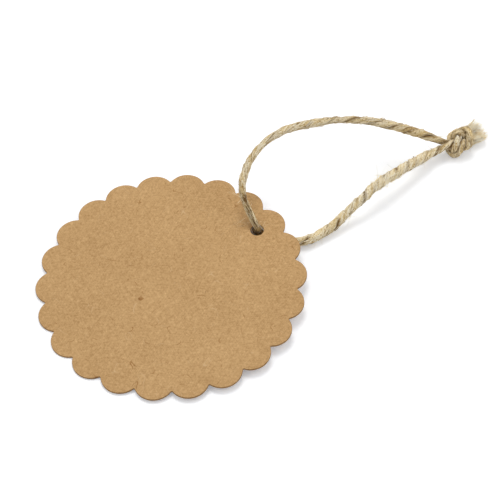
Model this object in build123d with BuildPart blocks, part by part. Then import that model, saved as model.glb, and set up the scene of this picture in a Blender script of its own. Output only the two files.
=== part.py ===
"""Round scalloped kraft gift tag on a knotted loop of jute twine.

Millimetres, +Z up, table at Z = 0. The origin is under the middle of the card, and +Y points
from the middle of the card to its punched hole. The card leans on the twine that runs under it,
so its hole side is a little higher than the far edge, which touches the table.
"""
import os
from math import atan, cos, degrees, pi, radians, sin, tan

from build123d import *

os.makedirs("parts", exist_ok=True)

# Card
tag_diameter = 60.0  # over the tips of the lobes
lobe_count = 22
lobe_depth = 2.25  # from the tip of a lobe in to the valleys beside it
valley_round = 0.25  # the cutting rule's bend between two lobes
card_thickness = 0.45
edge_break = 0.08  # upper edge, pressed down by the cutting die
card_lean = 3.0  # degrees, hole side up

# Hole
hole_diameter = 3.1
hole_offset = 23.2  # from the middle of the card

# The twine's line up through the hole, and its straight runs above and below the hole's middle
pass_direction = (-0.45, -0.15, 0.88)
pass_above = 1.65
pass_below = 1.5

# Twine
twine_diameter = 1.9
twine_sides = 8  # flats round the twine's section
knot_twine_diameter = 1.2  # where the knot squeezes it
fray_diameter = 2.4
fray_length = 4.2
fray_tip_round = 0.5
bend_share = 0.45  # share of the shorter run that each bend takes up

# Knot
knot_centre = (5.0, 78.2, 2.93)
knot_heading = 8.0  # degrees, the knot's own line turned from +Y towards +X
knot_roll = 10.0  # degrees, about the knot's own line
taper_length = 2.0  # a leg narrows over this length as it enters the knot
upper_lead = 2.2  # straight run of the upper leg before its taper
lower_lead = 2.6  # and of the lower leg

# Placement of the card: its lower face passes through the table line at the far lobe
lean_angle = radians(card_lean)
card_plane = Plane(
    origin=(0, card_thickness * sin(lean_angle) / 2, tag_diameter / 2 * sin(lean_angle)),
    x_dir=(1, 0, 0),
    z_dir=(0, -sin(lean_angle), cos(lean_angle)),
)
hole_middle = card_plane.from_local_coords(Vector(0, hole_offset, card_thickness / 2))

# Placement of the knot: X along its own line, Y out to one side, Z up
heading = radians(knot_heading)
roll = radians(knot_roll)
knot_line = Vector(sin(heading), cos(heading), 0)
knot_side = Vector(cos(heading), -sin(heading), 0)
knot_up = Vector(0, 0, 1) * cos(roll) - knot_side * sin(roll)
knot_plane = Plane(origin=knot_centre, x_dir=knot_line, z_dir=knot_up)

# Half of each strand's way through the knot, in the knot's own directions (along, out, up).
# A doubled overhand knot looks the same turned half round about its "out" direction.
upper_half = [
    (-2.0, 0.7, -0.4),
    (-0.65, 0.25, -0.35),
    (0.25, -0.45, -1.1),
    (1.05, -1.35, -1.7),
    (2.05, -2.15, -0.7),
    (2.4, -1.6, 0.7),
    (1.6, -0.6, 1.3),
    (0.75, 0.25, 2.05),
    (-0.1, 1.4, 1.45),
]
lower_half = [
    (-2.0, -0.4, 0.6),
    (-0.9, -1.1, -0.05),
    (0.0, -1.95, -0.95),
    (1.05, -2.85, -0.15),
    (1.35, -2.5, 1.35),
    (1.95, -1.75, 2.4),
    (2.5, -0.3, 2.5),
    (2.15, 0.9, 1.9),
    (1.4, 1.8, 1.1),
    (0.55, 2.75, 0.35),
]
upper_way_in = (-3.1, 1.35, 0.15)
upper_way_out = (3.2, 1.1, 0.85)
lower_way_in = (-3.3, -0.55, 0.85)
lower_way_out = (3.3, -0.6, -0.75)

# Free stretches of the twine, between its run through the hole and its straight run into the knot
upper_bends = [
    (-3.2, 23.4, 5.75),
    (-6.4, 23.7, 7.7),
    (-8.9, 25.1, 9.7),
    (-11.0, 28.4, 11.5),
    (-13.0, 33.4, 12.9),
    (-13.8, 38.8, 13.7),
    (-12.8, 44.4, 13.9),
    (-10.4, 50.8, 13.3),
    (-7.5, 57.0, 11.9),
    (-4.4, 62.9, 9.9),
    (-1.4, 68.2, 7.3),
]
lower_bends = [
    (1.8, 24.1, 0.97),
    (4.2, 26.3, 0.97),
    (6.7, 29.5, 0.97),
    (7.8, 33.3, 0.99),
    (7.95, 37.4, 1.2),
    (7.6, 41.6, 2.2),
    (7.2, 46.6, 4.1),
    (6.9, 52.0, 5.6),
    (6.4, 57.8, 6.1),
    (5.7, 63.4, 5.7),
]


def through_knot(way_in, half, way_out):
    """Points of one strand from its way in to its way out, in the model's frame."""
    turned = [(-along, out, -up) for along, out, up in reversed(half)]
    return [knot_plane.from_local_coords(Vector(*p)) for p in [way_in, *half, *turned, way_out]]


def to_the_knot(first_run, bends, strand, lead):
    """Points of one leg from the hole to the start of its taper, in line with its strand."""
    inward = (strand[1] - strand[0]).normalized()
    taper_start = strand[0] - inward * taper_length
    start = [hole_middle, hole_middle + first_run]
    return [*start, *(Vector(*p) for p in bends), taper_start - inward * lead, taper_start]


def bend_radii(points):
    """The largest bend at each inner point that its two runs leave room for."""
    radii = []
    for before, here, after in zip(points, points[1:], points[2:]):
        arriving = here - before
        leaving = after - here
        half_turn = radians(arriving.get_angle(leaving)) / 2
        radii.append(bend_share * min(arriving.length, leaving.length) / tan(half_turn))
    return radii


def print_tube(name, tube, path, diameter, radii):
    """Prints how tightly a tube bends and how its volume compares with section times length."""
    section = twine_sides / 2 * (diameter / 2) ** 2 * sin(2 * pi / twine_sides)
    expected = section * path.length
    print(f"{name}: length {path.length:.1f}, volume share {tube.volume / expected:.4f}")
    print("  bend radii", [round(r, 2) for r in radii])


def least_gap(strand, other):
    """Least gap between two strands, or of one strand to itself, measured on points along them."""
    same_bend = 2.2 * knot_twine_diameter
    distances = [
        (here - there).length
        for along, here in strand
        for along_other, there in other
        if strand is not other or abs(along - along_other) > same_bend
    ]
    return min(distances) - knot_twine_diameter


upper_strand = through_knot(upper_way_in, upper_half, upper_way_out)
lower_strand = through_knot(lower_way_in, lower_half, lower_way_out)

# Tag card: scalloped outline of equal lobes, one of them in line with the hole
pitch = 360 / lobe_count
tip = Vector(0, tag_diameter / 2)
valley = Vector(0, tag_diameter / 2 - lobe_depth)
with BuildPart() as tag_card:
    with BuildSketch(card_plane):
        with BuildLine():
            for lobe in range(lobe_count):
                ThreePointArc(
                    valley.rotate(Axis.Z, pitch * (lobe - 0.5)),
                    tip.rotate(Axis.Z, pitch * lobe),
                    valley.rotate(Axis.Z, pitch * (lobe + 0.5)),
                )
        outline = make_face()
        fillet(outline.vertices(), valley_round)
        with Locations((0, hole_offset)):
            Circle(hole_diameter / 2, mode=Mode.SUBTRACT)
    extrude(amount=card_thickness)
    upper_face = faces().sort_by(Axis(card_plane.origin, card_plane.z_dir))[-1]
    chamfer(upper_face.outer_wire().edges(), edge_break)
tag_card.part.label = "tag_card"
export_step(tag_card.part, "parts/tag_card.step")

# Legs of the loop: the upper one arches from the hole to the knot, the lower one runs under the card.
# Each narrows as it enters the knot.
hole_line = Vector(*pass_direction).normalized()
narrowing = (twine_diameter - knot_twine_diameter) / 2 * cos(pi / twine_sides)
taper_angle = degrees(atan(narrowing / taper_length))
for name, first_run, bends, strand, lead in [
    ("twine_upper_leg", hole_line * pass_above, upper_bends, upper_strand, upper_lead),
    ("twine_lower_leg", hole_line * -pass_below, lower_bends, lower_strand, lower_lead),
]:
    route = to_the_knot(first_run, bends, strand, lead)
    radii = bend_radii(route)
    with BuildPart() as leg:
        with BuildLine():
            path = FilletPolyline(*route, radius=radii)
        with BuildSketch(Plane(origin=path @ 0, z_dir=path % 0)):
            RegularPolygon(twine_diameter / 2, twine_sides)
        sweep()
        print_tube(name, leg.part, path, twine_diameter, radii)
        extrude(faces().sort_by_distance(path @ 1)[0], amount=taper_length, taper=taper_angle)
    leg.part.label = name
    export_step(leg.part, f"parts/{name}.step")

# Doubled overhand knot: two strands side by side, each through the loop that both make
gap_samples = 200
strand_points = []
for name, strand in [("knot_upper_strand", upper_strand), ("knot_lower_strand", lower_strand)]:
    radii = bend_radii(strand)
    with BuildPart() as knot:
        with BuildLine():
            path = FilletPolyline(*strand, radius=radii)
        with BuildSketch(Plane(origin=path @ 0, z_dir=path % 0)):
            RegularPolygon(knot_twine_diameter / 2, twine_sides)
        sweep()
    knot.part.label = name
    export_step(knot.part, f"parts/{name}.step")
    print_tube(name, knot.part, path, knot_twine_diameter, radii)
    steps = [i / gap_samples for i in range(gap_samples + 1)]
    strand_points.append([(step * path.length, path @ step) for step in steps])
upper_points, lower_points = strand_points
print(f"least gap of the upper strand to itself: {least_gap(upper_points, upper_points):.2f}")
print(f"least gap of the lower strand to itself: {least_gap(lower_points, lower_points):.2f}")
print(f"least gap between the two strands: {least_gap(upper_points, lower_points):.2f}")

# Frayed ends: the cut twine opens out like a small brush beyond the knot
for name, strand in [("frayed_end_upper", upper_strand), ("frayed_end_lower", lower_strand)]:
    outward = (strand[-1] - strand[-2]).normalized()
    across = outward.cross(Vector(0, 0, 1))
    with BuildPart() as frayed_end:
        with BuildSketch(Plane(origin=strand[-1], x_dir=outward, z_dir=across)):
            with BuildLine():
                shoulder = (fray_length - fray_tip_round, fray_diameter / 2)
                root = Line((0, 0), (0, knot_twine_diameter / 2))
                flare = TangentArc(root @ 1, shoulder, tangent=(1, 0))
                rounding = Line(flare @ 1, (fray_length, fray_diameter / 2 - fray_tip_round))
                tip_face = Line(rounding @ 1, (fray_length, 0))
                Line(tip_face @ 1, root @ 0)
            make_face()
        revolve(axis=Axis(strand[-1], outward))
    frayed_end.part.label = name
    export_step(frayed_end.part, f"parts/{name}.step")
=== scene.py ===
import math

import bpy
import numpy as np
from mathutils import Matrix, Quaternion, Vector


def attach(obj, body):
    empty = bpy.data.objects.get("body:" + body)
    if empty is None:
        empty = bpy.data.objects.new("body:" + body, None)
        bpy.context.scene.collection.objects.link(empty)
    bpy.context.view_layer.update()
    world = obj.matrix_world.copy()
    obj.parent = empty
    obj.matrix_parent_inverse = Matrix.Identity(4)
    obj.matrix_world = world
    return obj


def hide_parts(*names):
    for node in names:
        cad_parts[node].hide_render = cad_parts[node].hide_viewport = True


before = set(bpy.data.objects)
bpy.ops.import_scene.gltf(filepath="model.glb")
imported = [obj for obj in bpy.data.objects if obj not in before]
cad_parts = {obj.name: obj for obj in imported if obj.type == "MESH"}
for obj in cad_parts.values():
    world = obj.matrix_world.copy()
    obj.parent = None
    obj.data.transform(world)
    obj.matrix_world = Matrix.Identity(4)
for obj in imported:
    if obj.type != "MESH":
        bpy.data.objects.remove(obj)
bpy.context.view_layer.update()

# Camera: place, the point on the table that it looks at, roll and lens
camera_place = (0.15330, -0.08597, 0.24179)
camera_aim = (0.00171, 0.02001, 0.0)
camera_roll = math.radians(0.09)
camera_lens_mm = 96.97
sensor_width_mm = 36.0

# Card, as in the CAD source
tag_radius = 0.030
card_thickness = 0.00045
card_lean = math.radians(3.0)
hole_offset = 0.0232

# Route of the twine through the hole, along two legs and through the knot: the points of the CAD
# source, some of them moved to where the photograph shows the twine
pass_shift = (0.0, 0.0003, 0.0)  # the twine runs a little to one side of the hole
pass_direction = (-0.45, -0.15, 0.88)
pass_above = 0.00165
run_below = (-0.0017, 0.0006, -0.0015)  # the twine turns under the hole
upper_bends = [
    (-0.0032, 0.0234, 0.00575),
    (-0.0064, 0.0237, 0.0077),
    (-0.0089, 0.0251, 0.0097),
    (-0.01145, 0.0284, 0.0115),
    (-0.0134, 0.0334, 0.0129),
    (-0.0138, 0.0388, 0.0137),
    (-0.0128, 0.0444, 0.0134),
    (-0.0104, 0.0508, 0.0133),
    (-0.0075, 0.0570, 0.01235),
    (-0.0044, 0.0629, 0.0099),
    (-0.0004, 0.0671, 0.0087),
    (0.0018, 0.0710, 0.0061),
    (0.0029, 0.0730, 0.0048),
]
lower_bends = [
    (0.0018, 0.0241, 0.00097),
    (0.00434, 0.02615, 0.0012),
    (0.00708, 0.02922, 0.00155),
    (0.00822, 0.03297, 0.00165),
    (0.00836, 0.03715, 0.00185),
    (0.00778, 0.04123, 0.0028),
    (0.0076, 0.04612, 0.0049),
    (0.00661, 0.0518, 0.0060),
    (0.00598, 0.0580, 0.0056),
    (0.00521, 0.0644, 0.00435),
    (0.00456, 0.07086, 0.0032),
    (0.00461, 0.0733, 0.0030),
]
knot_centre = (0.0050, 0.0782, 0.00293)
knot_heading = math.radians(8.0)
knot_roll = math.radians(10.0)
# Half of each strand's way through the knot, in the knot's own directions (along, out, up)
upper_half = [
    (-0.0020, 0.0007, -0.0004),
    (-0.00065, 0.00025, -0.00035),
    (0.00025, -0.00045, -0.0011),
    (0.00105, -0.00135, -0.0017),
    (0.00205, -0.00215, -0.0007),
    (0.0024, -0.0016, 0.0007),
    (0.0016, -0.0006, 0.0013),
    (0.00075, 0.00025, 0.00205),
    (-0.0001, 0.0014, 0.00145),
]
lower_half = [
    (-0.0020, -0.0004, 0.0006),
    (-0.0009, -0.0011, -0.00005),
    (0.0, -0.00195, -0.00095),
    (0.00105, -0.00285, -0.00015),
    (0.00135, -0.0025, 0.00135),
    (0.00195, -0.00175, 0.0024),
    (0.0025, -0.0003, 0.0025),
    (0.00215, 0.0009, 0.0019),
    (0.0014, 0.0018, 0.0011),
    (0.00055, 0.00275, 0.00035),
]
upper_way_in = (-0.0031, 0.00105, 0.0)
upper_way_out = (0.0032, 0.0011, 0.00085)
lower_way_in = (-0.0033, -0.0009, 0.00045)
lower_way_out = (0.0033, -0.0006, -0.00075)
# Tips of the two cut ends, and a place between them
upper_tip = (0.0038, 0.0852, 0.0048)
lower_tip = (0.0070, 0.0859, 0.0016)
middle_tip = (0.0056, 0.0855, 0.0034)
low_root = (0.0066, 0.0822, 0.0012)  # loose fibres leave the knot here as well

# Twine: its radius at lengths from the hole, wider and narrower where the photograph shows it so
radius_in_hole = 0.00078
radius_in_knot = 0.00074
radius_past_knot = 0.00092
radius_at_end = 0.00112
upper_widths = [
    (0.003, 0.00070), (0.0075, 0.00066), (0.0095, 0.00074), (0.012, 0.00086),
    (0.018, 0.00078), (0.023, 0.00080), (0.028, 0.00090), (0.036, 0.00098),
    (0.042, 0.00070), (0.048, 0.00090), (0.054, 0.00104), (0.058, 0.00108),
    (0.063, 0.00096),
]
lower_widths = [
    (0.0016, 0.00104), (0.004, 0.00096), (0.018, 0.00104), (0.023, 0.00110),
    (0.028, 0.00098), (0.033, 0.00106), (0.038, 0.00118), (0.043, 0.00126),
    (0.050, 0.00112),
]
strand_rise = 0.00007  # how far the strands stand above the plies that they lie on
# The lay is the length in which the two plies turn once
lay_by_the_hole = 0.0130
lay_of_upper_leg = 0.0100
lay_of_lower_leg = 0.0078
lay_in_knot = 0.0075
lay_of_ends = 0.030
upper_lay_starts = 0.024  # length from the hole at which the upper leg has its own lay

# How finely the twine is built
sample_step = 0.00016
ply_sides = 18
fibre_sides = 5
fibre_stride = 2  # samples between the rings of a fibre
floor_gap = 0.00002

random_seed = 42
rng = np.random.default_rng(random_seed)


def unit(vectors):
    """Vectors scaled to length 1, one or an array of them."""
    return vectors / np.linalg.norm(vectors, axis=-1, keepdims=True)


def random_turn():
    """A random angle, all the way round."""
    return rng.uniform(0, 6.28)


# Place of the hole's middle
lean_normal = np.array([0.0, -math.sin(card_lean), math.cos(card_lean)])
lean_along = np.array([0.0, math.cos(card_lean), math.sin(card_lean)])
card_origin = np.array([0.0, card_thickness * math.sin(card_lean) / 2, tag_radius * math.sin(card_lean)])
hole_middle = card_origin + lean_along * hole_offset + lean_normal * card_thickness / 2

# Directions of the knot
knot_line = np.array([math.sin(knot_heading), math.cos(knot_heading), 0.0])
knot_side = np.array([math.cos(knot_heading), -math.sin(knot_heading), 0.0])
knot_up = np.array([0.0, 0.0, 1.0]) * math.cos(knot_roll) - knot_side * math.sin(knot_roll)
knot_out = np.cross(knot_up, knot_line)


def through_knot(way_in, half, way_out):
    """Points of one strand through the knot, which looks the same turned half round."""
    turned = [(-along, out, -up) for along, out, up in reversed(half)]
    local = np.array([way_in, *half, *turned, way_out])
    return np.array(knot_centre) + local @ np.array([knot_line, knot_out, knot_up])


def whole_route(first_run, bends, strand, tip):
    """Points of one half of the twine, from the hole to the tip of its cut end."""
    start = hole_middle + np.array(pass_shift)
    return np.array([start, start + first_run, *bends, *strand, tip])


def smooth_line(points):
    """Points read from a smooth NURBS spline that has the given control points."""
    curve = bpy.data.curves.new("route", "CURVE")
    curve.dimensions = "3D"
    spline = curve.splines.new("NURBS")
    spline.points.add(len(points) - 1)
    for target, point in zip(spline.points, points):
        target.co = (*point, 1.0)
    spline.order_u = 3
    spline.use_endpoint_u = True
    spline.resolution_u = 24
    carrier = bpy.data.objects.new("route", curve)
    mesh = bpy.data.meshes.new_from_object(carrier)
    line = np.array([v.co for v in mesh.vertices])
    bpy.data.objects.remove(carrier)
    bpy.data.curves.remove(curve)
    bpy.data.meshes.remove(mesh)
    return line


def lengths_along(line):
    """Length along a line at each of its points."""
    return np.concatenate([[0.0], np.cumsum(np.linalg.norm(np.diff(line, axis=0), axis=1))])


def evenly(line, step):
    """The same line, with points an even step apart."""
    along = lengths_along(line)
    at = np.linspace(0.0, along[-1], int(round(along[-1] / step)) + 1)
    return np.column_stack([np.interp(at, along, line[:, k]) for k in range(3)])


def wander(count, spacing):
    """A smooth random wave between about -1 and 1, with a new value every so many samples."""
    values = rng.uniform(-1.0, 1.0, count // spacing + 4)
    at = np.arange(count) / spacing
    left = at.astype(int)
    share = at - left
    share = share * share * (3 - 2 * share)
    return values[left] * (1 - share) + values[left + 1] * share


def distance_to(line, point):
    """Length along a line at which it passes nearest to a point."""
    nearest = np.linalg.norm(line - point, axis=1).argmin()
    return lengths_along(line)[nearest]


# The twine as one line, from the lower cut end through the hole to the upper one
hole_line = unit(np.array(pass_direction))
upper_strand = through_knot(upper_way_in, upper_half, upper_way_out)
lower_strand = through_knot(lower_way_in, lower_half, lower_way_out)
upper_route = whole_route(hole_line * pass_above, upper_bends, upper_strand, upper_tip)
lower_route = whole_route(np.array(run_below), lower_bends, lower_strand, lower_tip)
upper_line = evenly(smooth_line(upper_route), sample_step)
lower_line = evenly(smooth_line(lower_route), sample_step)
twine_line = np.concatenate([lower_line[::-1], upper_line[1:]])
hole_index = len(lower_line) - 1
twine_count = len(twine_line)
# Lengths from the hole, negative on the lower half
twine_along = lengths_along(twine_line) - lengths_along(lower_line)[-1]

# Where each half enters and leaves the knot, as lengths from the hole
upper_in = distance_to(upper_line, upper_strand[0])
upper_out = distance_to(upper_line, upper_strand[-1])
upper_end = lengths_along(upper_line)[-1]
lower_in = distance_to(lower_line, lower_strand[0])
lower_out = distance_to(lower_line, lower_strand[-1])
lower_end = lengths_along(lower_line)[-1]
ease = 0.003  # in which the lay changes
end_length = 0.001  # in which a cut end turns pale and opens


def along_stops(stops):
    """Values along the twine, from stops that give a length from the hole and a value."""
    return np.interp(twine_along, *zip(*stops))


def waves(size, spacing):
    """A random wave along the twine: its size, and the samples between its values."""
    return size * wander(twine_count, spacing)


def nearest_sample(along):
    """The sample of the twine at a length from the hole."""
    return int(np.abs(twine_along - along).argmin())


radius_stops = [
    (-lower_end, radius_at_end),
    (-lower_out - end_length, radius_past_knot),
    (-lower_out, radius_in_knot),
    (-lower_in, radius_in_knot),
    *[(-along, radius) for along, radius in reversed(lower_widths)],
    (0.0, radius_in_hole),
    *upper_widths,
    (upper_in, radius_in_knot),
    (upper_out, radius_in_knot),
    (upper_out + end_length, radius_past_knot),
    (upper_end, radius_at_end),
]
lay_stops = [
    (-lower_out - end_length, lay_of_ends),
    (-lower_out, lay_in_knot),
    (-lower_in, lay_in_knot),
    (-lower_in + ease, lay_of_lower_leg),
    (-ease, lay_of_lower_leg),
    (ease, lay_by_the_hole),
    (upper_lay_starts, lay_of_upper_leg),
    (upper_in - ease, lay_of_upper_leg),
    (upper_in, lay_in_knot),
    (upper_out, lay_in_knot),
    (upper_out + end_length, lay_of_ends),
]
twine_radius = along_stops(radius_stops) - strand_rise
twine_radius *= 1 + waves(size=0.04, spacing=22) + waves(size=0.05, spacing=8)
# Thin between the hole and the pinch, where the plies come apart into strings
pinch_along = 0.0077
thin_share = 0.30
thin_stops = [(0.0, 0.0), (0.0015, 1.0), (0.0060, 1.0), (pinch_along, 0.0)]
twine_radius *= 1 - thin_share * along_stops(thin_stops)
twine_lay = along_stops(lay_stops) * (1 + waves(size=0.38, spacing=24))

# Directions across the twine, carried along it without twist, and the turning of its two plies
twine_tangent = unit(np.gradient(twine_line, axis=0))
twine_across = np.zeros_like(twine_line)
carried = np.cross(twine_tangent[0], (0.0, 0.0, 1.0))
for i, tangent in enumerate(twine_tangent):
    carried = unit(carried - tangent * (carried @ tangent))
    twine_across[i] = carried
twine_over = np.cross(twine_tangent, twine_across)
ply_turn = -np.cumsum(2 * math.pi * sample_step / twine_lay) + waves(size=0.35, spacing=16)

# Section of one ply, in shares of the twine's radius: a soft D against its twin.
# The plies swell and sink against each other along the twine.
ply_reach = 0.60
ply_width = 0.90
ply_squareness = 2.4
ply_offset = 0.38 + waves(size=0.06, spacing=20)
# How much painted shade darkens the groove between the plies
groove_shade_stops = [
    (-0.066, 0.75), (-0.055, 0.65), (-0.045, 0.40),
    (0.030, 0.45), (0.042, 0.70), (0.065, 0.80),
]
groove_shade_depth = along_stops(groove_shade_stops) + waves(size=0.85, spacing=11)
groove_shade_depth = np.clip(groove_shade_depth, 0, 1)
ply_lead = waves(size=0.10, spacing=26)
ply_swell = [
    1 + ply_lead + waves(size=0.05, spacing=10),
    1 - ply_lead + waves(size=0.05, spacing=10),
]

# Each ply is several bundles of fibres side by side, each lighter or darker along the twine
bundle_count = 8
bundle_shade = np.array([
    [waves(size=0.17, spacing=34) for _ in range(bundle_count)]
    for _ in range(2)
])
# Open where the twine bends through the hole, and darker there with painted shade
open_stops = [(-0.008, 0.0), (-0.002, 0.7), (0.004, 1.0), (0.008, 0.8), (0.012, 0.0)]
twine_open = along_stops(open_stops)
flat_length = 0.002  # loose fibres lie flat this near to the hole, and rise over as much again
twine_free = np.clip((np.abs(twine_along) - flat_length) / flat_length, 0, 1)

# Painted shade: dark brown colour in the shade under the hole and between the strings above it
painted_shade_stops = [
    (-0.0060, 0.0), (-0.0035, 1.0), (-0.0006, 1.0),
    (0.0006, 0.5), (0.0020, 0.9), (0.0062, 0.9), (0.0080, 0.1),
]
twine_painted_shade = along_stops(painted_shade_stops)

# Pale beyond the knot, where the cut ends open and have no painted shade in the groove
upper_pale = np.clip((twine_along - upper_out) / end_length, 0, 1)
lower_pale = np.clip(-(twine_along + lower_out) / end_length, 0, 1)
twine_pale = upper_pale + lower_pale
groove_shade_depth *= 1 - twine_pale

# A pale patch on the strand in the middle of the knot, at shares of that strand's way through it
patch_shares = np.array([0.73, 0.78, 0.86, 0.90])
patch_stops = upper_in + patch_shares * (upper_out - upper_in)
twine_patch = np.interp(twine_along, patch_stops, [0.0, 1.0, 1.0, 0.0])

# Lighter where the lower leg is loosest, along the upper leg and on the patch
patch_light = 0.30
knot_ease = 0.004
light_stops = [
    (-lower_in - knot_ease, 0.04), (-lower_in, 0.02), (-0.050, 0.18), (-0.042, 0.30),
    (-0.028, 0.30), (-0.022, 0.14), (0.0, 0.0), (0.010, 0.19), (0.016, 0.27), (0.040, 0.24),
    (upper_in, 0.08), (upper_in + knot_ease, 0.04),
]
twine_light = along_stops(light_stops) + patch_light * twine_patch

# How golden the twine is along its length: deepest just before the knot, less so at the pale ends
gold_stops = [
    (-0.062, 0.8), (-0.050, 0.6), (-0.034, 0.2), (-0.015, 0.5), (0.0, 0.6),
    (0.012, 0.6), (0.030, 0.35), (0.050, 0.7), (0.060, 1.0), (0.066, 0.9),
]
gold_lost_at_ends = 0.7
twine_gold = along_stops(gold_stops) + waves(size=0.15, spacing=40)
twine_gold *= (1 - gold_lost_at_ends * twine_pale) * (1 - twine_patch)


def ply_points(ply, samples, turn, lift):
    """Places and outward directions on a ply: sample numbers, angles round the ply, lift above it."""
    angle = ply_turn[samples] + math.pi * ply
    out = twine_across[samples] * np.cos(angle)[:, None] + twine_over[samples] * np.sin(angle)[:, None]
    side = np.cross(twine_tangent[samples], out)
    power = 2 / ply_squareness
    outward = ply_reach * np.sign(np.cos(turn)) * np.abs(np.cos(turn)) ** power
    sideways = ply_width * np.sign(np.sin(turn)) * np.abs(np.sin(turn)) ** power
    scale = twine_radius[samples] * ply_swell[ply][samples]
    grow = 1 + lift / scale
    a = (ply_offset[samples] + outward * grow) * scale
    b = sideways * grow * scale
    place = twine_line[samples] + out * a[:, None] + side * b[:, None]
    normal = out * (np.cos(turn) / ply_reach)[:, None] + side * (np.sin(turn) / ply_width)[:, None]
    return place, unit(normal)


def bundle_tone(ply, turn, samples):
    """How much lighter or darker a ply's bundle of fibres is, at angles round the ply."""
    place = (turn / (2 * math.pi) % 1.0) * bundle_count
    left = np.floor(place).astype(int)
    share = place - left
    tones = bundle_shade[ply]
    left_tone = tones[left % bundle_count, samples]
    right_tone = tones[(left + 1) % bundle_count, samples]
    return left_tone * (1 - share) + right_tone * share


def hull_points(samples, angle, lift):
    """Places and outward directions on the round hull that both plies touch."""
    out = twine_across[samples] * np.cos(angle)[:, None] + twine_over[samples] * np.sin(angle)[:, None]
    away = (ply_offset[samples] + ply_reach) * twine_radius[samples] + lift
    return twine_line[samples] + out * away[:, None], out


groove_from = 1.2  # radians from the outermost line of a ply
groove_ease = 0.6


def groove_painted_shade(turn, samples):
    """Painted shade in the groove between the plies, at a place round a ply, from 0 to 1."""
    away = np.abs((turn + math.pi) % (2 * math.pi) - math.pi)
    return np.clip((away - groove_from) / groove_ease, 0, 1) * groove_shade_depth[samples]


no_place = 9.0  # for a fibre that has no place along the twine
shade_drop = 0.02  # every fibre is this much darker than the shade given for it

# Painted shade: the twine's colour darkens in the knot where another stretch of it is within reach
knot_reach = 0.0075
own_stretch = 0.0028  # twine this near along its length is not another stretch
shade_reach = 0.00118
shade_sway = 0.00016
shade_ease = 0.00045
points_at_once = 4000
knot_samples = np.where(np.linalg.norm(twine_line - np.array(knot_centre), axis=1) < knot_reach)[0]
shade_wave = wander(twine_count, 7)


def knot_painted_shade(points, along):
    """Painted shade in the knot: how closely other stretches of the twine press on each point, from 0 to
    1.
    """
    painted_shade = np.zeros(len(points))
    near = np.where(np.linalg.norm(points - np.array(knot_centre), axis=1) < knot_reach)[0]
    for part in np.array_split(near, max(1, len(near) // points_at_once)):
        gaps = np.linalg.norm(points[part, None, :] - twine_line[None, knot_samples], axis=2)
        own = np.abs(along[part, None] - twine_along[None, knot_samples]) < own_stretch
        gaps[own] = 1.0
        reach = shade_reach + shade_sway * np.interp(along[part], twine_along, shade_wave)
        painted_shade[part] = np.clip((reach - gaps.min(axis=1)) / shade_ease, 0, 1)
    return painted_shade * (1 - np.interp(along, twine_along, twine_pale))


def new_object(name, data):
    """An object linked to the scene."""
    thing = bpy.data.objects.new(name, data)
    bpy.context.scene.collection.objects.link(thing)
    return thing


class Bundle:
    """Tubes gathered for one mesh, with the shade, brown and painted shade, gold and place of each
    point.
    """

    def __init__(self):
        self.points = []
        self.faces = []
        self.values = []
        self.count = 0

    def add(self, rings, values):
        """Adds a closed tube: rings of points (rings, sides, 3) and values (rings, sides, 4)."""
        ring_count, sides, _ = rings.shape
        ring = np.arange(ring_count - 1)[:, None] * sides
        side = np.arange(sides)[None, :]
        after = (side + 1) % sides
        quads = np.stack([ring + side, ring + after, ring + sides + after, ring + sides + side], axis=-1)
        self.faces += (quads.reshape(-1, 4) + self.count).tolist()
        self.faces.append((np.arange(sides)[::-1] + self.count).tolist())
        self.faces.append((np.arange(sides) + (ring_count - 1) * sides + self.count).tolist())
        self.points.append(rings.reshape(-1, 3))
        self.values.append(np.broadcast_to(values, (ring_count, sides, 4)).reshape(-1, 4))
        self.count += ring_count * sides

    def mesh_object(self, name, material, paint_knot_shade=False):
        """The tubes as one mesh object, none of it under the floor, with painted shade where the knot
        crowds it.
        """
        points = np.concatenate(self.points)
        points[:, 2] = np.maximum(points[:, 2], floor_gap)
        values = np.concatenate(self.values)
        values[:, 0] -= shade_drop
        if paint_knot_shade:
            values[:, 1] = np.maximum(values[:, 1], knot_painted_shade(points, values[:, 3]))
        values = values.astype(np.float32)
        mesh = bpy.data.meshes.new(name)
        mesh.from_pydata(points.tolist(), [], self.faces)
        mesh.polygons.foreach_set("use_smooth", [True] * len(mesh.polygons))
        for column, label in enumerate(("shade", "brown_and_painted_shade", "gold")):
            attribute = mesh.attributes.new(label, "FLOAT", "POINT")
            attribute.data.foreach_set("value", np.ascontiguousarray(values[:, column]))
        mesh.update()
        mesh.materials.append(material)
        return new_object(name, mesh)


taper_rate = 7  # a fibre has its full width from one part in this many of its length
point_width = 0.12  # its ends are this share as wide


def fibre_rings(line, normal, width, height):
    """Rings of a flattened tube along a line, pointed at both ends."""
    tangent = unit(np.gradient(line, axis=0))
    side = unit(np.cross(tangent, normal))
    top = np.cross(side, tangent)
    share = np.linspace(0, 1, len(line))
    taper = np.clip(np.minimum(share, 1 - share) * taper_rate, point_width, 1)[:, None, None]
    turn = np.linspace(0, 2 * math.pi, fibre_sides, endpoint=False)[None, :, None]
    across = side[:, None, :] * np.cos(turn) * width + top[:, None, :] * np.sin(turn) * height
    return line[:, None, :] + across * taper


def fibre_values(rings, shade, brown_and_painted_shade, gold, along=no_place):
    """Values of a fibre's points, each one number or one for each ring."""
    values = np.zeros((rings, fibre_sides, 4))
    for column, value in enumerate((shade, brown_and_painted_shade, gold, along)):
        values[:, :, column] = np.broadcast_to(value, rings)[:, None]
    return values


# The plies' core is darker than the fibres that lie on it: painted shade where it shows in the gaps
# between them
core_painted_shade = 0.46
# How much painted shade darkens the plies where the twine opens
open_painted_shade = 0.28
pale_lightens = 0.6
ridge_counts = (4, 6, 9)  # round a ply, one wave for each
ridge_sway = 1.6
ridge_height = 0.000022
# Painted light on the ridge tops and painted shade in the hollows between them
ridge_painted_shade = 0.05


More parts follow.
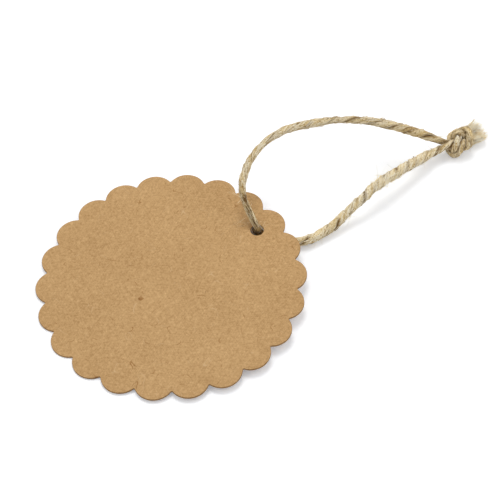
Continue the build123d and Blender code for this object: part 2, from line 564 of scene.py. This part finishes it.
def add_plies(bundle, first, last):
    """The two plies between two samples, with low ridges along them."""
    samples = np.arange(first, last + 1)
    turns = np.linspace(0, 2 * math.pi, ply_sides, endpoint=False)
    for ply in range(2):
        ridges = [(n, random_turn() + waves(ridge_sway, spacing=30)[samples]) for n in ridge_counts]
        rings = np.zeros((len(samples), ply_sides, 3))
        values = np.zeros((len(samples), ply_sides, 4))
        for k, turn in enumerate(turns):
            ridge = sum(np.sin(n * turn + phase) for n, phase in ridges)
            same_turn = np.full(len(samples), turn)
            rings[:, k], _ = ply_points(ply, samples, same_turn, ridge_height * ridge)
            shade = core_painted_shade + ridge_painted_shade * ridge + bundle_tone(ply, same_turn, samples)
            shade = shade - open_painted_shade * twine_open[samples] + pale_lightens * twine_pale[samples]
            values[:, k, 0] = shade
            values[:, k, 1] = np.maximum(groove_painted_shade(turn, samples), twine_painted_shade[samples])
            values[:, k, 2] = twine_gold[samples]
            values[:, k, 3] = twine_along[samples]
        bundle.add(rings, values)


# How many of the strands are brown: more in the knot, none in the pale ends
knot_radius = 0.0055
brown_in_knot = 0.24
brown_elsewhere = 0.10
in_knot = np.linalg.norm(twine_line - np.array(knot_centre), axis=1) < knot_radius
brown_share = np.where(in_knot, brown_in_knot, brown_elsewhere)
brown_share = np.where(twine_pale + twine_patch > 0.5, 0.0, brown_share)

# Strands and finer fibres that lie on the plies: fewest and most rings, least and most half width,
# mean shade, its spread, and the share that stands loose
strands = (6, 16, 0.000055, 0.000125, 0.99, 0.20, 0.08)
fibres = (10, 30, 0.000020, 0.000045, 1.02, 0.18, 0.25)
end_strands = (6, 14, 0.00004, 0.00010, 0.95, 0.22, 0.15)
fewest_rings = 6
last_start = 12  # samples before the end of a stretch
widest_turn = 2.3  # radians from the outermost line of a ply
sunk_depth = 0.00005  # of a fibre's ends
middle_rise = 0.00009
flatness = 0.6
pale_lightens_fibres = 0.4
groove_shade_on_fibres = 0.8


def add_lying_fibres(bundle, first, last, count, kind):
    """Fibres along the plies or more along the twine, their ends sunk between their neighbours."""
    least_rings, most_rings, least_width, most_width, mean_shade, shade_spread, loose_share = kind
    for _ in range(count):
        ring_count = int(rng.integers(least_rings, most_rings))
        start = int(rng.integers(first, last - last_start))
        samples = start + np.arange(ring_count) * fibre_stride
        samples = samples[samples <= last]
        ply = int(rng.integers(2))
        middle_turn = rng.uniform(-2.0, 2.0)
        straightening = rng.normal(0.15, 0.5)
        width = rng.uniform(least_width, most_width)
        shade = rng.normal(mean_shade, shade_spread)
        wave = random_turn()
        stand = rng.uniform(0.00008, 0.00032) if rng.random() < loose_share else 0.0
        apart = rng.uniform(0.0, 0.00016)
        # How much painted shade darkens this fibre where the twine opens
        opened_painted_shade = rng.choice([-0.45, -0.10])
        brown = rng.uniform(0.4, 1.0) if rng.random() < brown_share[start] else 0.0
        if len(samples) < fewest_rings:
            continue
        share = np.linspace(0, 1, len(samples))
        opened = twine_open[samples]
        turned = ply_turn[samples] - ply_turn[samples].mean()
        sway = 0.15 * np.sin(wave + 9 * share)
        turn = middle_turn - np.maximum(straightening, opened) * turned + sway
        turn = np.clip(turn, -widest_turn, widest_turn)
        rise = np.clip(np.minimum(share, 1 - share) * 5, 0, 1)
        lift = apart * opened + stand * np.sin(math.pi * share) ** 2
        lift = -sunk_depth + middle_rise * rise + lift * twine_free[samples]
        line, normal = ply_points(ply, samples, turn, lift)
        rings = fibre_rings(line, normal, width, width * flatness)
        shades = shade + bundle_tone(ply, turn, samples) + opened_painted_shade * opened
        shades = shades + 0.10 * np.sin(2 * wave + 7 * share)
        shades = shades + pale_lightens_fibres * twine_pale[samples] + twine_light[samples]
        # Brown strands, with painted shade under the hole, between the strings and in the groove
        brown_and_painted_shade = np.maximum(brown, twine_painted_shade[samples])
        brown_and_painted_shade = np.maximum(groove_shade_on_fibres * groove_painted_shade(turn, samples), brown_and_painted_shade)
        values = fibre_values(len(samples), shades, brown_and_painted_shade, twine_gold[samples], twine_along[samples])
        bundle.add(rings, values)


bridge_depth = 0.00012  # of a bridging fibre's ends under the hull
bridge_rise = 0.00017


def add_bridging_fibres(bundle, first, last, count):
    """Fibres that cross from one ply to the other over the groove."""
    for _ in range(count):
        ring_count = int(rng.integers(10, 34))
        start = int(rng.integers(first, last - ring_count * fibre_stride))
        samples = start + np.arange(ring_count) * fibre_stride
        share = np.linspace(0, 1, ring_count)
        angle = random_turn() + rng.normal(-0.7, 0.9) * share
        lift = -bridge_depth + bridge_rise * np.sin(math.pi * share) ** 0.6
        line, normal = hull_points(samples, angle, lift)
        width = rng.uniform(0.00003, 0.00007)
        rings = fibre_rings(line, normal, width, width * 0.7)
        shade = rng.normal(0.85, 0.18)
        values = fibre_values(ring_count, shade, 0.0, twine_gold[samples], twine_along[samples])
        bundle.add(rings, values)


swept_length = 0.024  # the card swings over this much of the lower leg
hairs_over_card = 0.016  # and this much of the upper leg stands over the card
hair_clearance = 0.00006  # between a hair that lies on the card and the card
hair_root_depth = 0.0001
hair_rings = 9
placed_hair_rings = 12


def on_card(line):
    """A hair's line, raised where it would sink into the card."""
    height = (line - hole_middle) @ lean_normal
    raised = np.maximum(height, card_thickness / 2 + hair_clearance)
    return line + lean_normal * (raised - height)[:, None]


def add_hairs(bundle, places, least, most):
    """Stray hairs that stand off the twine at the given samples, none in the way of the card."""
    for sample in places:
        angle = random_turn()
        samples = np.array([sample])
        root, out = hull_points(samples, np.array([angle]), np.array([-hair_root_depth]))
        lean = twine_tangent[sample] * rng.choice([-1, 1]) * rng.uniform(0.5, 2.2)
        bend = rng.normal(0, 0.55, 3)
        length = rng.uniform(least, most)
        share = np.linspace(0, 1, hair_rings)[:, None]
        heading = unit(out[0] + lean)
        line = root + length * (heading * share + bend * share**2 * 0.5)
        above_card = ((line - hole_middle) @ lean_normal).max() > -card_thickness
        if above_card and -swept_length < twine_along[sample] < 0:
            continue
        if 0 <= twine_along[sample] < hairs_over_card:
            line = on_card(line)
        radius = rng.uniform(0.000018, 0.000040)
        normal = np.tile(np.cross(heading, bend), (hair_rings, 1))
        rings = fibre_rings(line, normal, radius, radius)
        shade = rng.normal(0.72, 0.12)
        bundle.add(rings, fibre_values(hair_rings, shade, 0.0, twine_gold[sample]))


# Strings between the hole and the pinch: degrees from the camera towards the right of the picture,
# shade, brown share and half width
open_strings = [
    (90, 1.00, 0.1, 0.00010),
    (64, 1.25, 0.0, 0.00013),
    (36, 0.50, 0.6, 0.00006),
    (12, 0.75, 0.3, 0.00008),
    (-30, 0.60, 0.4, 0.00009),
    (-58, 0.85, 0.2, 0.00012),
    (-84, 0.70, 0.3, 0.00012),
    (130, 0.80, 0.2, 0.00012),
    (-125, 0.80, 0.2, 0.00012),
    (180, 0.70, 0.3, 0.00012),
]
string_reach = 0.00070  # from the middle of the twine
to_camera = unit(np.array(camera_place) - hole_middle)
to_right = unit(np.cross((0.0, 0.0, 1.0), to_camera))
pinch_index = nearest_sample(pinch_along)
pinch_rings = 9


def side_angle(samples, degrees):
    """Angles round the twine that face so many degrees from the camera towards the right."""
    turn = np.radians(degrees)
    facing = to_camera * np.cos(turn)[..., None] + to_right * np.sin(turn)[..., None]
    return np.arctan2((twine_over[samples] * facing).sum(-1), (twine_across[samples] * facing).sum(-1))


def add_open_strings(bundle):
    """Loose strings between the hole and the pinch above it, with dark gaps between them."""
    for degrees, shade, brown, width in open_strings:
        samples = np.arange(hole_index + 1, pinch_index + int(rng.integers(0, 8)), fibre_stride)
        share = np.linspace(0, 1, len(samples))
        sway = degrees + 18 * np.sin(random_turn() + rng.uniform(3, 6) * share)
        _, out = hull_points(samples, side_angle(samples, sway), np.zeros(len(samples)))
        ripple = 0.06 * np.sin(random_turn() + 9 * share)
        away = string_reach * (0.78 + 0.30 * np.sin(math.pi * share) + ripple)
        line = twine_line[samples] + out * away[:, None]
        rings = fibre_rings(line, out, width, width * 0.8)
        shades = shade + 0.12 * np.sin(random_turn() + 7 * share)
        bundle.add(rings, fibre_values(len(samples), shades, brown, 1.0, twine_along[samples]))


def add_loose_threads(bundle, count):
    """Thin threads that stray over the strings between the hole and the pinch."""
    for _ in range(count):
        start = hole_index + int(rng.integers(2, 22))
        samples = np.arange(start, start + int(rng.integers(14, 30)), fibre_stride)
        share = np.linspace(0, 1, len(samples))
        sway = rng.uniform(-95, 95) + rng.normal(0, 45) * (share - 0.5)
        _, out = hull_points(samples, side_angle(samples, sway), np.zeros(len(samples)))
        arch = rng.uniform(0.80, 1.0) + rng.uniform(0.05, 0.45) * np.sin(math.pi * share)
        line = twine_line[samples] + out * (string_reach * arch)[:, None]
        width = rng.uniform(0.000025, 0.00006)
        rings = fibre_rings(line, out, width, width * 0.8)
        brown = rng.choice([0.1, 0.4, 0.9])
        bundle.add(rings, fibre_values(len(samples), rng.normal(0.78, 0.15), brown, 1.0))


def add_pinch(bundle, count):
    """Short dark fibres wound across the twine at the pinch."""
    share = np.linspace(-1, 1, pinch_rings)
    for _ in range(count):
        slant = rng.uniform(-6, 6)
        middle = pinch_index + rng.normal(0, 4)
        samples = np.round(middle + slant * share).astype(int)
        sweep = rng.uniform(10, 75) + rng.uniform(25, 55) * share
        lift = np.full(pinch_rings, rng.uniform(0.00002, 0.00012))
        line, out = hull_points(samples, side_angle(samples, sweep), lift)
        width = rng.uniform(0.00004, 0.00009)
        values = fibre_values(pinch_rings, rng.uniform(0.2, 0.5), 1.0, 0.5)
        bundle.add(fibre_rings(line, out, width, width), values)


# Longer hairs that stand off the twine by the hole: root, bend and tip
placed_hairs = [
    ((-0.00644, 0.02347, 0.0076), (-0.00801, 0.02319, 0.0080), (-0.01022, 0.02333, 0.0082)),
    ((-0.00691, 0.02352, 0.0078), (-0.0081, 0.0227, 0.0079), (-0.00959, 0.02179, 0.0074)),
    ((-0.00324, 0.02262, 0.0050), (-0.00385, 0.02112, 0.0040), (-0.00421, 0.0189, 0.0034)),
    ((-0.00206, 0.02263, 0.0044), (-0.00234, 0.02117, 0.0037), (-0.00357, 0.01982, 0.0034)),
    ((0.00006, 0.0239, 0.0035), (0.0003, 0.02456, 0.0040), (-0.00032, 0.02527, 0.0043)),
    ((0.00036, 0.02397, 0.0034), (0.0007, 0.02455, 0.0037), (0.00032, 0.02509, 0.0040)),
]


def add_placed_hairs(bundle):
    """The longer hairs by the hole, two beside each other for each."""
    share = np.linspace(0, 1, placed_hair_rings)[:, None]
    normal = np.tile((0.1, 0.2, 1.0), (placed_hair_rings, 1))
    for root, bend, tip in np.array(placed_hairs):
        for _ in range(2):
            moved = rng.normal(0, 0.00025, 3)
            line = root * (1 - share) ** 2 + 2 * (bend + moved) * share * (1 - share)
            line = on_card(line + (tip + 2 * moved) * share**2)
            width = rng.uniform(0.000011, 0.000018)
            rings = fibre_rings(line, normal, width, width)
            bundle.add(rings, fibre_values(placed_hair_rings, rng.normal(0.72, 0.08), 0.0, 0.8))


# Locks and finer wisps of the cut ends: clumps, fibres in each, least and most half width,
# least and most reach
locks = (22, 3, 0.00003, 0.00008, 0.70, 1.0)
wisps = (24, 3, 0.000012, 0.000024, 0.80, 1.10)
low_locks = (10, 3, 0.00005, 0.00009, 0.75, 1.0)
fray_back = 0.0012  # how far the loose fibres start before the cut end leaves the knot
fray_rings = 12
furthest_inward = 1.3  # a clump points at most this share of the way from the tip to the inner tip
root_spread = 0.00052
tip_spread = 0.00042  # more than at the root


def add_fray(bundle, root, tip, inner_tip, kind, gold):
    """Loose fibres in clumps that open out like a small brush, from a root towards two tips."""
    clumps, clump_fibres, least_width, most_width, least_reach, most_reach = kind
    share = np.linspace(0, 1, fray_rings)[:, None]
    opening = 1 - (1 - share) ** 3
    for _ in range(clumps):
        inward = furthest_inward * rng.random()
        axis = np.array(tip) * (1 - inward) + np.array(inner_tip) * inward - root
        reach = np.linalg.norm(axis)
        axis = axis / reach
        across = unit(np.cross(axis, (0.0, 0.0, 1.0)))
        over = np.cross(axis, across)
        angle = random_turn()
        away = math.sqrt(rng.random())
        radial = across * math.cos(angle) + over * math.sin(angle)
        clump_reach = reach * rng.uniform(least_reach, most_reach)
        clump_shade = rng.normal(1.10, 0.20)
        clump_curl = rng.normal(0, 0.00032, 3)
        spread = away * (root_spread + tip_spread * opening)
        for _ in range(clump_fibres):
            length = clump_reach * rng.uniform(0.85, 1.08) + fray_back
            stray = rng.normal(0, 0.00015, 3) * (0.4 + opening)
            stray = stray + rng.normal(0, 0.00042, 3) * share**2.5
            line = root - axis * fray_back + axis * length * share + radial * spread
            line = line + clump_curl * share**2 + stray
            width = rng.uniform(least_width, most_width)
            rings = fibre_rings(line, np.tile(radial, (fray_rings, 1)), width, width * flatness)
            shade = clump_shade + rng.normal(0, 0.16)
            bundle.add(rings, fibre_values(fray_rings, shade, 0.0, gold))


def new_material(name):
    """A material with its nodes and links."""
    material = bpy.data.materials.new(name)
    material.use_nodes = True
    return material, material.node_tree.nodes, material.node_tree.links


def add_streaks(nodes, links, vector, scale, detail, turn=0.0):
    """Noise stretched by its scale in the three directions, turned about Z."""
    stretch = nodes.new("ShaderNodeMapping")
    stretch.vector_type = "TEXTURE"
    stretch.inputs["Rotation"].default_value = (0, 0, turn)
    stretch.inputs["Scale"].default_value = [1 / s for s in scale]
    noise = nodes.new("ShaderNodeTexNoise")
    noise.inputs["Scale"].default_value = 1.0
    noise.inputs["Detail"].default_value = detail
    noise.inputs["Roughness"].default_value = 0.6
    links.new(vector, stretch.inputs["Vector"])
    links.new(stretch.outputs["Vector"], noise.inputs["Vector"])
    return noise.outputs["Fac"]


def add_ramp(nodes, stops):
    """A colour ramp with the given places and colours."""
    ramp = nodes.new("ShaderNodeValToRGB")
    elements = ramp.color_ramp.elements
    for k, (place, colour) in enumerate(stops):
        element = elements[k] if k < 2 else elements.new(place)
        element.position = place
        element.color = (*colour, 1)
    return ramp


def add_math(nodes, links, operation, *terms):
    """The result of a sum on sockets and numbers."""
    node = nodes.new("ShaderNodeMath")
    node.operation = operation
    for socket, term in zip(node.inputs, terms):
        if isinstance(term, float):
            socket.default_value = term
        else:
            links.new(term, socket)
    return node.outputs["Value"]


def add_range(nodes, links, value, low, high, top=1.0):
    """A value mapped to 0 at its low end and to the top at its high end."""
    mapped = nodes.new("ShaderNodeMapRange")
    mapped.inputs["From Min"].default_value = low
    mapped.inputs["From Max"].default_value = high
    mapped.inputs["To Max"].default_value = top
    links.new(value, mapped.inputs["Value"])
    return mapped.outputs["Result"]


def add_tints(nodes, links, colour, tints):
    """A colour after tints laid over each other: the amount of each, its way of mixing and its tone."""
    for amount, blend, tone in tints:
        tinted = nodes.new("ShaderNodeMix")
        tinted.data_type = "RGBA"
        tinted.blend_type = blend
        tinted.inputs["B"].default_value = tone
        links.new(amount, tinted.inputs["Factor"])
        links.new(colour, tinted.inputs["A"])
        colour = tinted.outputs["Result"]
    return colour


def add_bump(nodes, links, height, strength, shader):
    """A fine bump on a shader's surface."""
    bump = nodes.new("ShaderNodeBump")
    bump.inputs["Strength"].default_value = strength
    bump.inputs["Distance"].default_value = 0.00003
    links.new(height, bump.inputs["Height"])
    links.new(bump.outputs["Normal"], shader.inputs["Normal"])


def add_attribute(nodes, label):
    """A value that the points of a mesh carry."""
    attribute = nodes.new("ShaderNodeAttribute")
    attribute.attribute_name = label
    return attribute.outputs["Fac"]


def jute_material(name, fleck_shade_tone, sheen):
    """Straw-coloured jute: a shade for each fibre, mottling, flecks of painted shade, and brown fibres
    with painted shade in the grooves.
    """
    material, nodes, links = new_material(name)
    shader = nodes["Principled BSDF"]
    shader.inputs["Roughness"].default_value = 0.75
    shader.inputs["Specular IOR Level"].default_value = 0.25
    shader.inputs["Sheen Weight"].default_value = sheen
    shader.inputs["Sheen Roughness"].default_value = 0.5
    shader.inputs["Sheen Tint"].default_value = (1.0, 0.92, 0.75, 1)
    place = nodes.new("ShaderNodeTexCoord").outputs["Object"]
    mottle = add_streaks(nodes, links, place, (1500, 1500, 1500), 4.0)
    shade = add_math(nodes, links, "MULTIPLY_ADD", mottle, 0.5, add_attribute(nodes, "shade"))
    ramp = add_ramp(nodes, [
        (0.30, (0.42, 0.285, 0.11)),
        (1.00, (1.0, 0.95, 0.80)),
        (0.55, (0.68, 0.53, 0.275)),
        (0.78, (0.90, 0.79, 0.53)),
    ])
    links.new(shade, ramp.inputs["Fac"])
    # Dark flecks: painted shade of the gaps between fibres
    grain = add_streaks(nodes, links, place, (2600, 2600, 2600), 2.0)
    fleck_painted_shade = add_range(nodes, links, grain, 0.47, 0.36)
    colour = add_tints(nodes, links, ramp.outputs["Color"], [
        (fleck_painted_shade, "MULTIPLY", fleck_shade_tone),
        (add_attribute(nodes, "gold"), "MULTIPLY", (0.92, 0.83, 0.66, 1)),
        # Brown fibres, and painted shade in the grooves, in the knot, under the hole and between the
        # strings above it
        (add_attribute(nodes, "brown_and_painted_shade"), "MULTIPLY", (0.30, 0.21, 0.10, 1)),
    ])
    links.new(colour, shader.inputs["Base Color"])
    add_bump(nodes, links, mottle, 0.4, shader)
    return material


stroke_level = 0.5
stroke_width = 0.007
speck_size = 0.095  # of the largest specks, as a share of a cell


def add_fibre_marks(nodes, links, place, shift):
    """Thin curved strokes, from 0 to 1: the level line of one noise, cut short by another."""
    moved = nodes.new("ShaderNodeMapping")
    moved.inputs["Location"].default_value = shift
    links.new(place, moved.inputs["Vector"])
    curves = nodes.new("ShaderNodeTexNoise")
    curves.inputs["Scale"].default_value = 300.0
    curves.inputs["Detail"].default_value = 0.0
    links.new(moved.outputs["Vector"], curves.inputs["Vector"])
    level = add_math(nodes, links, "COMPARE", curves.outputs["Fac"], stroke_level, stroke_width)
    gaps = nodes.new("ShaderNodeTexNoise")
    gaps.inputs["Scale"].default_value = 450.0
    links.new(moved.outputs["Vector"], gaps.inputs["Vector"])
    kept = add_range(nodes, links, gaps.outputs["Fac"], 0.52, 0.66)
    return add_math(nodes, links, "MULTIPLY", level, kept)


def kraft_material():
    """Uncoated brown kraft board: clouds, short fibres, a few dark specks and a darker cut edge."""
    material, nodes, links = new_material("kraft")
    shader = nodes["Principled BSDF"]
    shader.inputs["Roughness"].default_value = 0.9
    shader.inputs["Specular IOR Level"].default_value = 0.2
    place = nodes.new("ShaderNodeTexCoord").outputs["Object"]
    layers = [
        (add_streaks(nodes, links, place, (70, 70, 70), 2.0), 0.25),
        (add_streaks(nodes, links, place, (4000, 700, 1500), 3.0, math.radians(24)), 0.55),
        (add_streaks(nodes, links, place, (4000, 700, 1500), 3.0, math.radians(-38)), 0.55),
        (add_streaks(nodes, links, place, (3700, 800, 1500), 3.0, math.radians(82)), 0.5),
        (add_streaks(nodes, links, place, (2200, 2200, 2200), 3.0), 0.6),
    ]
    total = 0.5 - 0.5 * sum(weight for _, weight in layers)
    for layer, weight in layers:
        total = add_math(nodes, links, "MULTIPLY_ADD", layer, weight, total)
    ramp = add_ramp(nodes, [
        (0.15, (0.375, 0.212, 0.082)),
        (0.85, (0.705, 0.458, 0.221)),
        (0.50, (0.540, 0.329, 0.145)),
    ])
    links.new(total, ramp.inputs["Fac"])

    cells = nodes.new("ShaderNodeTexVoronoi")
    cells.inputs["Scale"].default_value = 420.0
    links.new(place, cells.inputs["Vector"])
    chosen = nodes.new("ShaderNodeSeparateColor")
    links.new(cells.outputs["Color"], chosen.inputs["Color"])
    rare = add_range(nodes, links, chosen.outputs["Red"], 0.88, 1.0, speck_size)
    speck = add_math(nodes, links, "LESS_THAN", cells.outputs["Distance"], rare)

    facing = nodes.new("ShaderNodeNewGeometry")
    axes = nodes.new("ShaderNodeSeparateXYZ")
    links.new(facing.outputs["True Normal"], axes.inputs["Vector"])
    flat = add_math(nodes, links, "ABSOLUTE", axes.outputs["Z"])
    cut = add_math(nodes, links, "LESS_THAN", flat, 0.9)

    dark_fibres = add_fibre_marks(nodes, links, place, (0.3, 0.1, 0.2))
    light_fibres = add_fibre_marks(nodes, links, place, (0.7, 0.5, 0.4))
    colour = add_tints(nodes, links, ramp.outputs["Color"], [
        (light_fibres, "MIX", (0.63, 0.42, 0.22, 1)),
        (dark_fibres, "MULTIPLY", (0.66, 0.55, 0.44, 1)),
        (speck, "MULTIPLY", (0.36, 0.31, 0.27, 1)),
        (cut, "MULTIPLY", (0.66, 0.62, 0.58, 1)),
    ])
    links.new(colour, shader.inputs["Base Color"])
    add_bump(nodes, links, total, 0.25, shader)
    return material


floor_reach = 2.0
floor_glow = 0.26
plain_radius = 0.0045  # no glow this near to the hole
glow_radius = 0.0055


def white_floor():
    """A pale floor, white to the camera where no shadow falls, plain where the hole shows it."""
    mesh = bpy.data.meshes.new("floor")
    signs = [(-1, -1), (1, -1), (1, 1), (-1, 1)]
    corners = [(x * floor_reach, y * floor_reach, 0) for x, y in signs]
    mesh.from_pydata(corners, [], [(0, 1, 2, 3)])
    floor = new_object("floor", mesh)
    material, nodes, links = new_material("floor")
    nodes.clear()
    diffuse = nodes.new("ShaderNodeBsdfDiffuse")
    diffuse.inputs["Color"].default_value = (0.96, 0.96, 0.96, 1)
    glow = nodes.new("ShaderNodeEmission")
    glow.inputs["Color"].default_value = (0.84, 0.90, 1.0, 1)
    seen = nodes.new("ShaderNodeLightPath")
    place = nodes.new("ShaderNodeNewGeometry")
    away = nodes.new("ShaderNodeVectorMath")
    away.operation = "DISTANCE"
    away.inputs[1].default_value = (0.0, hole_offset, 0.0)
    links.new(place.outputs["Position"], away.inputs[0])
    lit = add_range(nodes, links, away.outputs["Value"], plain_radius, glow_radius, floor_glow)
    strength = add_math(nodes, links, "MULTIPLY", seen.outputs["Is Camera Ray"], lit)
    links.new(strength, glow.inputs["Strength"])
    both = nodes.new("ShaderNodeAddShader")
    output = nodes.new("ShaderNodeOutputMaterial")
    links.new(diffuse.outputs["BSDF"], both.inputs[0])
    links.new(glow.outputs["Emission"], both.inputs[1])
    links.new(both.outputs["Shader"], output.inputs["Surface"])
    mesh.materials.append(material)


def aim(thing, place, target, roll=0.0):
    """Puts a camera or lamp in place, looking at a target."""
    thing.location = place
    turn = (Vector(target) - Vector(place)).to_track_quat("-Z", "Y")
    thing.rotation_mode = "QUATERNION"
    thing.rotation_quaternion = turn @ Quaternion((0, 0, 1), roll)


# Lamps: name, place, size and energy
panels = [
    ("overhead_panel", (-0.22, 0.14, 0.56), 0.31, 1.40),
    ("left_panel", (-0.12, -0.37, 0.43), 0.42, 0.54),
    ("right_panel", (0.16, 0.42, 0.40), 0.50, 0.78),
]
panel_aim = (0.0, 0.03, 0.0)
world_strength = 0.43


def studio():
    """Soft light from panels overhead, left and right, even light all round, and the camera."""
    scene = bpy.context.scene
    scene.view_settings.view_transform = "Standard"
    world = bpy.data.worlds.new("studio")
    world.use_nodes = True
    nodes, links = world.node_tree.nodes, world.node_tree.links
    even = nodes["Background"]
    even.inputs["Color"].default_value = (1, 1, 1, 1)
    even.inputs["Strength"].default_value = world_strength
    white = nodes.new("ShaderNodeBackground")
    white.inputs["Color"].default_value = (1, 1, 1, 1)
    seen = nodes.new("ShaderNodeLightPath")
    pick = nodes.new("ShaderNodeMixShader")
    links.new(seen.outputs["Is Camera Ray"], pick.inputs["Fac"])
    links.new(even.outputs["Background"], pick.inputs[1])
    links.new(white.outputs["Background"], pick.inputs[2])
    links.new(pick.outputs["Shader"], nodes["World Output"].inputs["Surface"])
    scene.world = world
    for name, place, size, energy in panels:
        panel = bpy.data.lights.new(name, "AREA")
        panel.shape = "DISK"
        panel.size = size
        panel.energy = energy
        aim(new_object(name, panel), place, panel_aim)
    camera = bpy.data.cameras.new("camera")
    camera.sensor_width = sensor_width_mm
    camera.lens = camera_lens_mm
    camera_object = new_object("camera", camera)
    aim(camera_object, camera_place, camera_aim, camera_roll)
    scene.camera = camera_object


jute = jute_material("jute", (0.62, 0.50, 0.30, 1), 0.25)
loose_jute = jute_material("loose_jute", (0.96, 0.90, 0.76, 1), 0.6)
kraft = kraft_material()

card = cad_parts["tag_card"]
card.data.materials.clear()
card.data.materials.append(kraft)

core_short = 0.0019  # the plies end this far before the tips of the loose fibres
core_short_samples = int(core_short / sample_step)
lower_exit = nearest_sample(-lower_out)
upper_exit = nearest_sample(upper_out)
strands_per_sample = 0.85
fibres_per_sample = 0.45
bridging_per_sample = 0.22
loose_thread_count = 9
pinch_fibre_count = 26
hair_count = 150
hair_lengths = (0.0007, 0.0024)
tuft_along = -0.0362  # where the lower leg is hairiest
tuft_at = nearest_sample(tuft_along)
tuft_spread = 12
tuft_hair_count = 90
tuft_hair_lengths = (0.0009, 0.0030)
end_strand_count = 90
end_gold = {"lower": 1.3, "upper": 0.1}
halves = [
    ("lower", core_short_samples, hole_index, lower_exit, lower_tip, lower_end),
    ("upper", hole_index, twine_count - 1 - core_short_samples, upper_exit, upper_tip, upper_end),
]
for side, first, last, exit_sample, tip, length in halves:
    twine = Bundle()
    add_plies(twine, first, last)
    add_lying_fibres(twine, first, last, int((last - first) * strands_per_sample), strands)
    add_lying_fibres(twine, first, last, int((last - first) * fibres_per_sample), fibres)
    add_bridging_fibres(twine, first, last, int((last - first) * bridging_per_sample))
    if side == "upper":
        add_open_strings(twine)
        add_loose_threads(twine, loose_thread_count)
        add_pinch(twine, pinch_fibre_count)
    twine_piece = twine.mesh_object(side + "_twine", jute, paint_knot_shade=True)

    hairs = Bundle()
    add_hairs(hairs, rng.integers(first, last, hair_count), *hair_lengths)
    if side == "lower":
        tuft = (tuft_at + rng.normal(0, tuft_spread, tuft_hair_count)).astype(int)
        add_hairs(hairs, tuft, *tuft_hair_lengths)
    else:
        add_placed_hairs(hairs)
    hair_piece = hairs.mesh_object(side + "_stray_hairs", loose_jute)

    fray = Bundle()
    end_stretch = (first, exit_sample) if side == "lower" else (exit_sample, last)
    add_lying_fibres(fray, *end_stretch, end_strand_count, end_strands)
    for kind in (locks, wisps):
        add_fray(fray, twine_line[exit_sample], tip, middle_tip, kind, end_gold[side])
    if side == "lower":
        add_fray(fray, np.array(low_root), tip, tip, low_locks, end_gold[side])
    fray_piece = fray.mesh_object(side + "_frayed_end", loose_jute)

    for piece in (twine_piece, hair_piece, fray_piece):
        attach(piece, "twine")
    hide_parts(f"twine_{side}_leg", f"knot_{side}_strand")
    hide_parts(f"frayed_end_{side}")

white_floor()
studio()
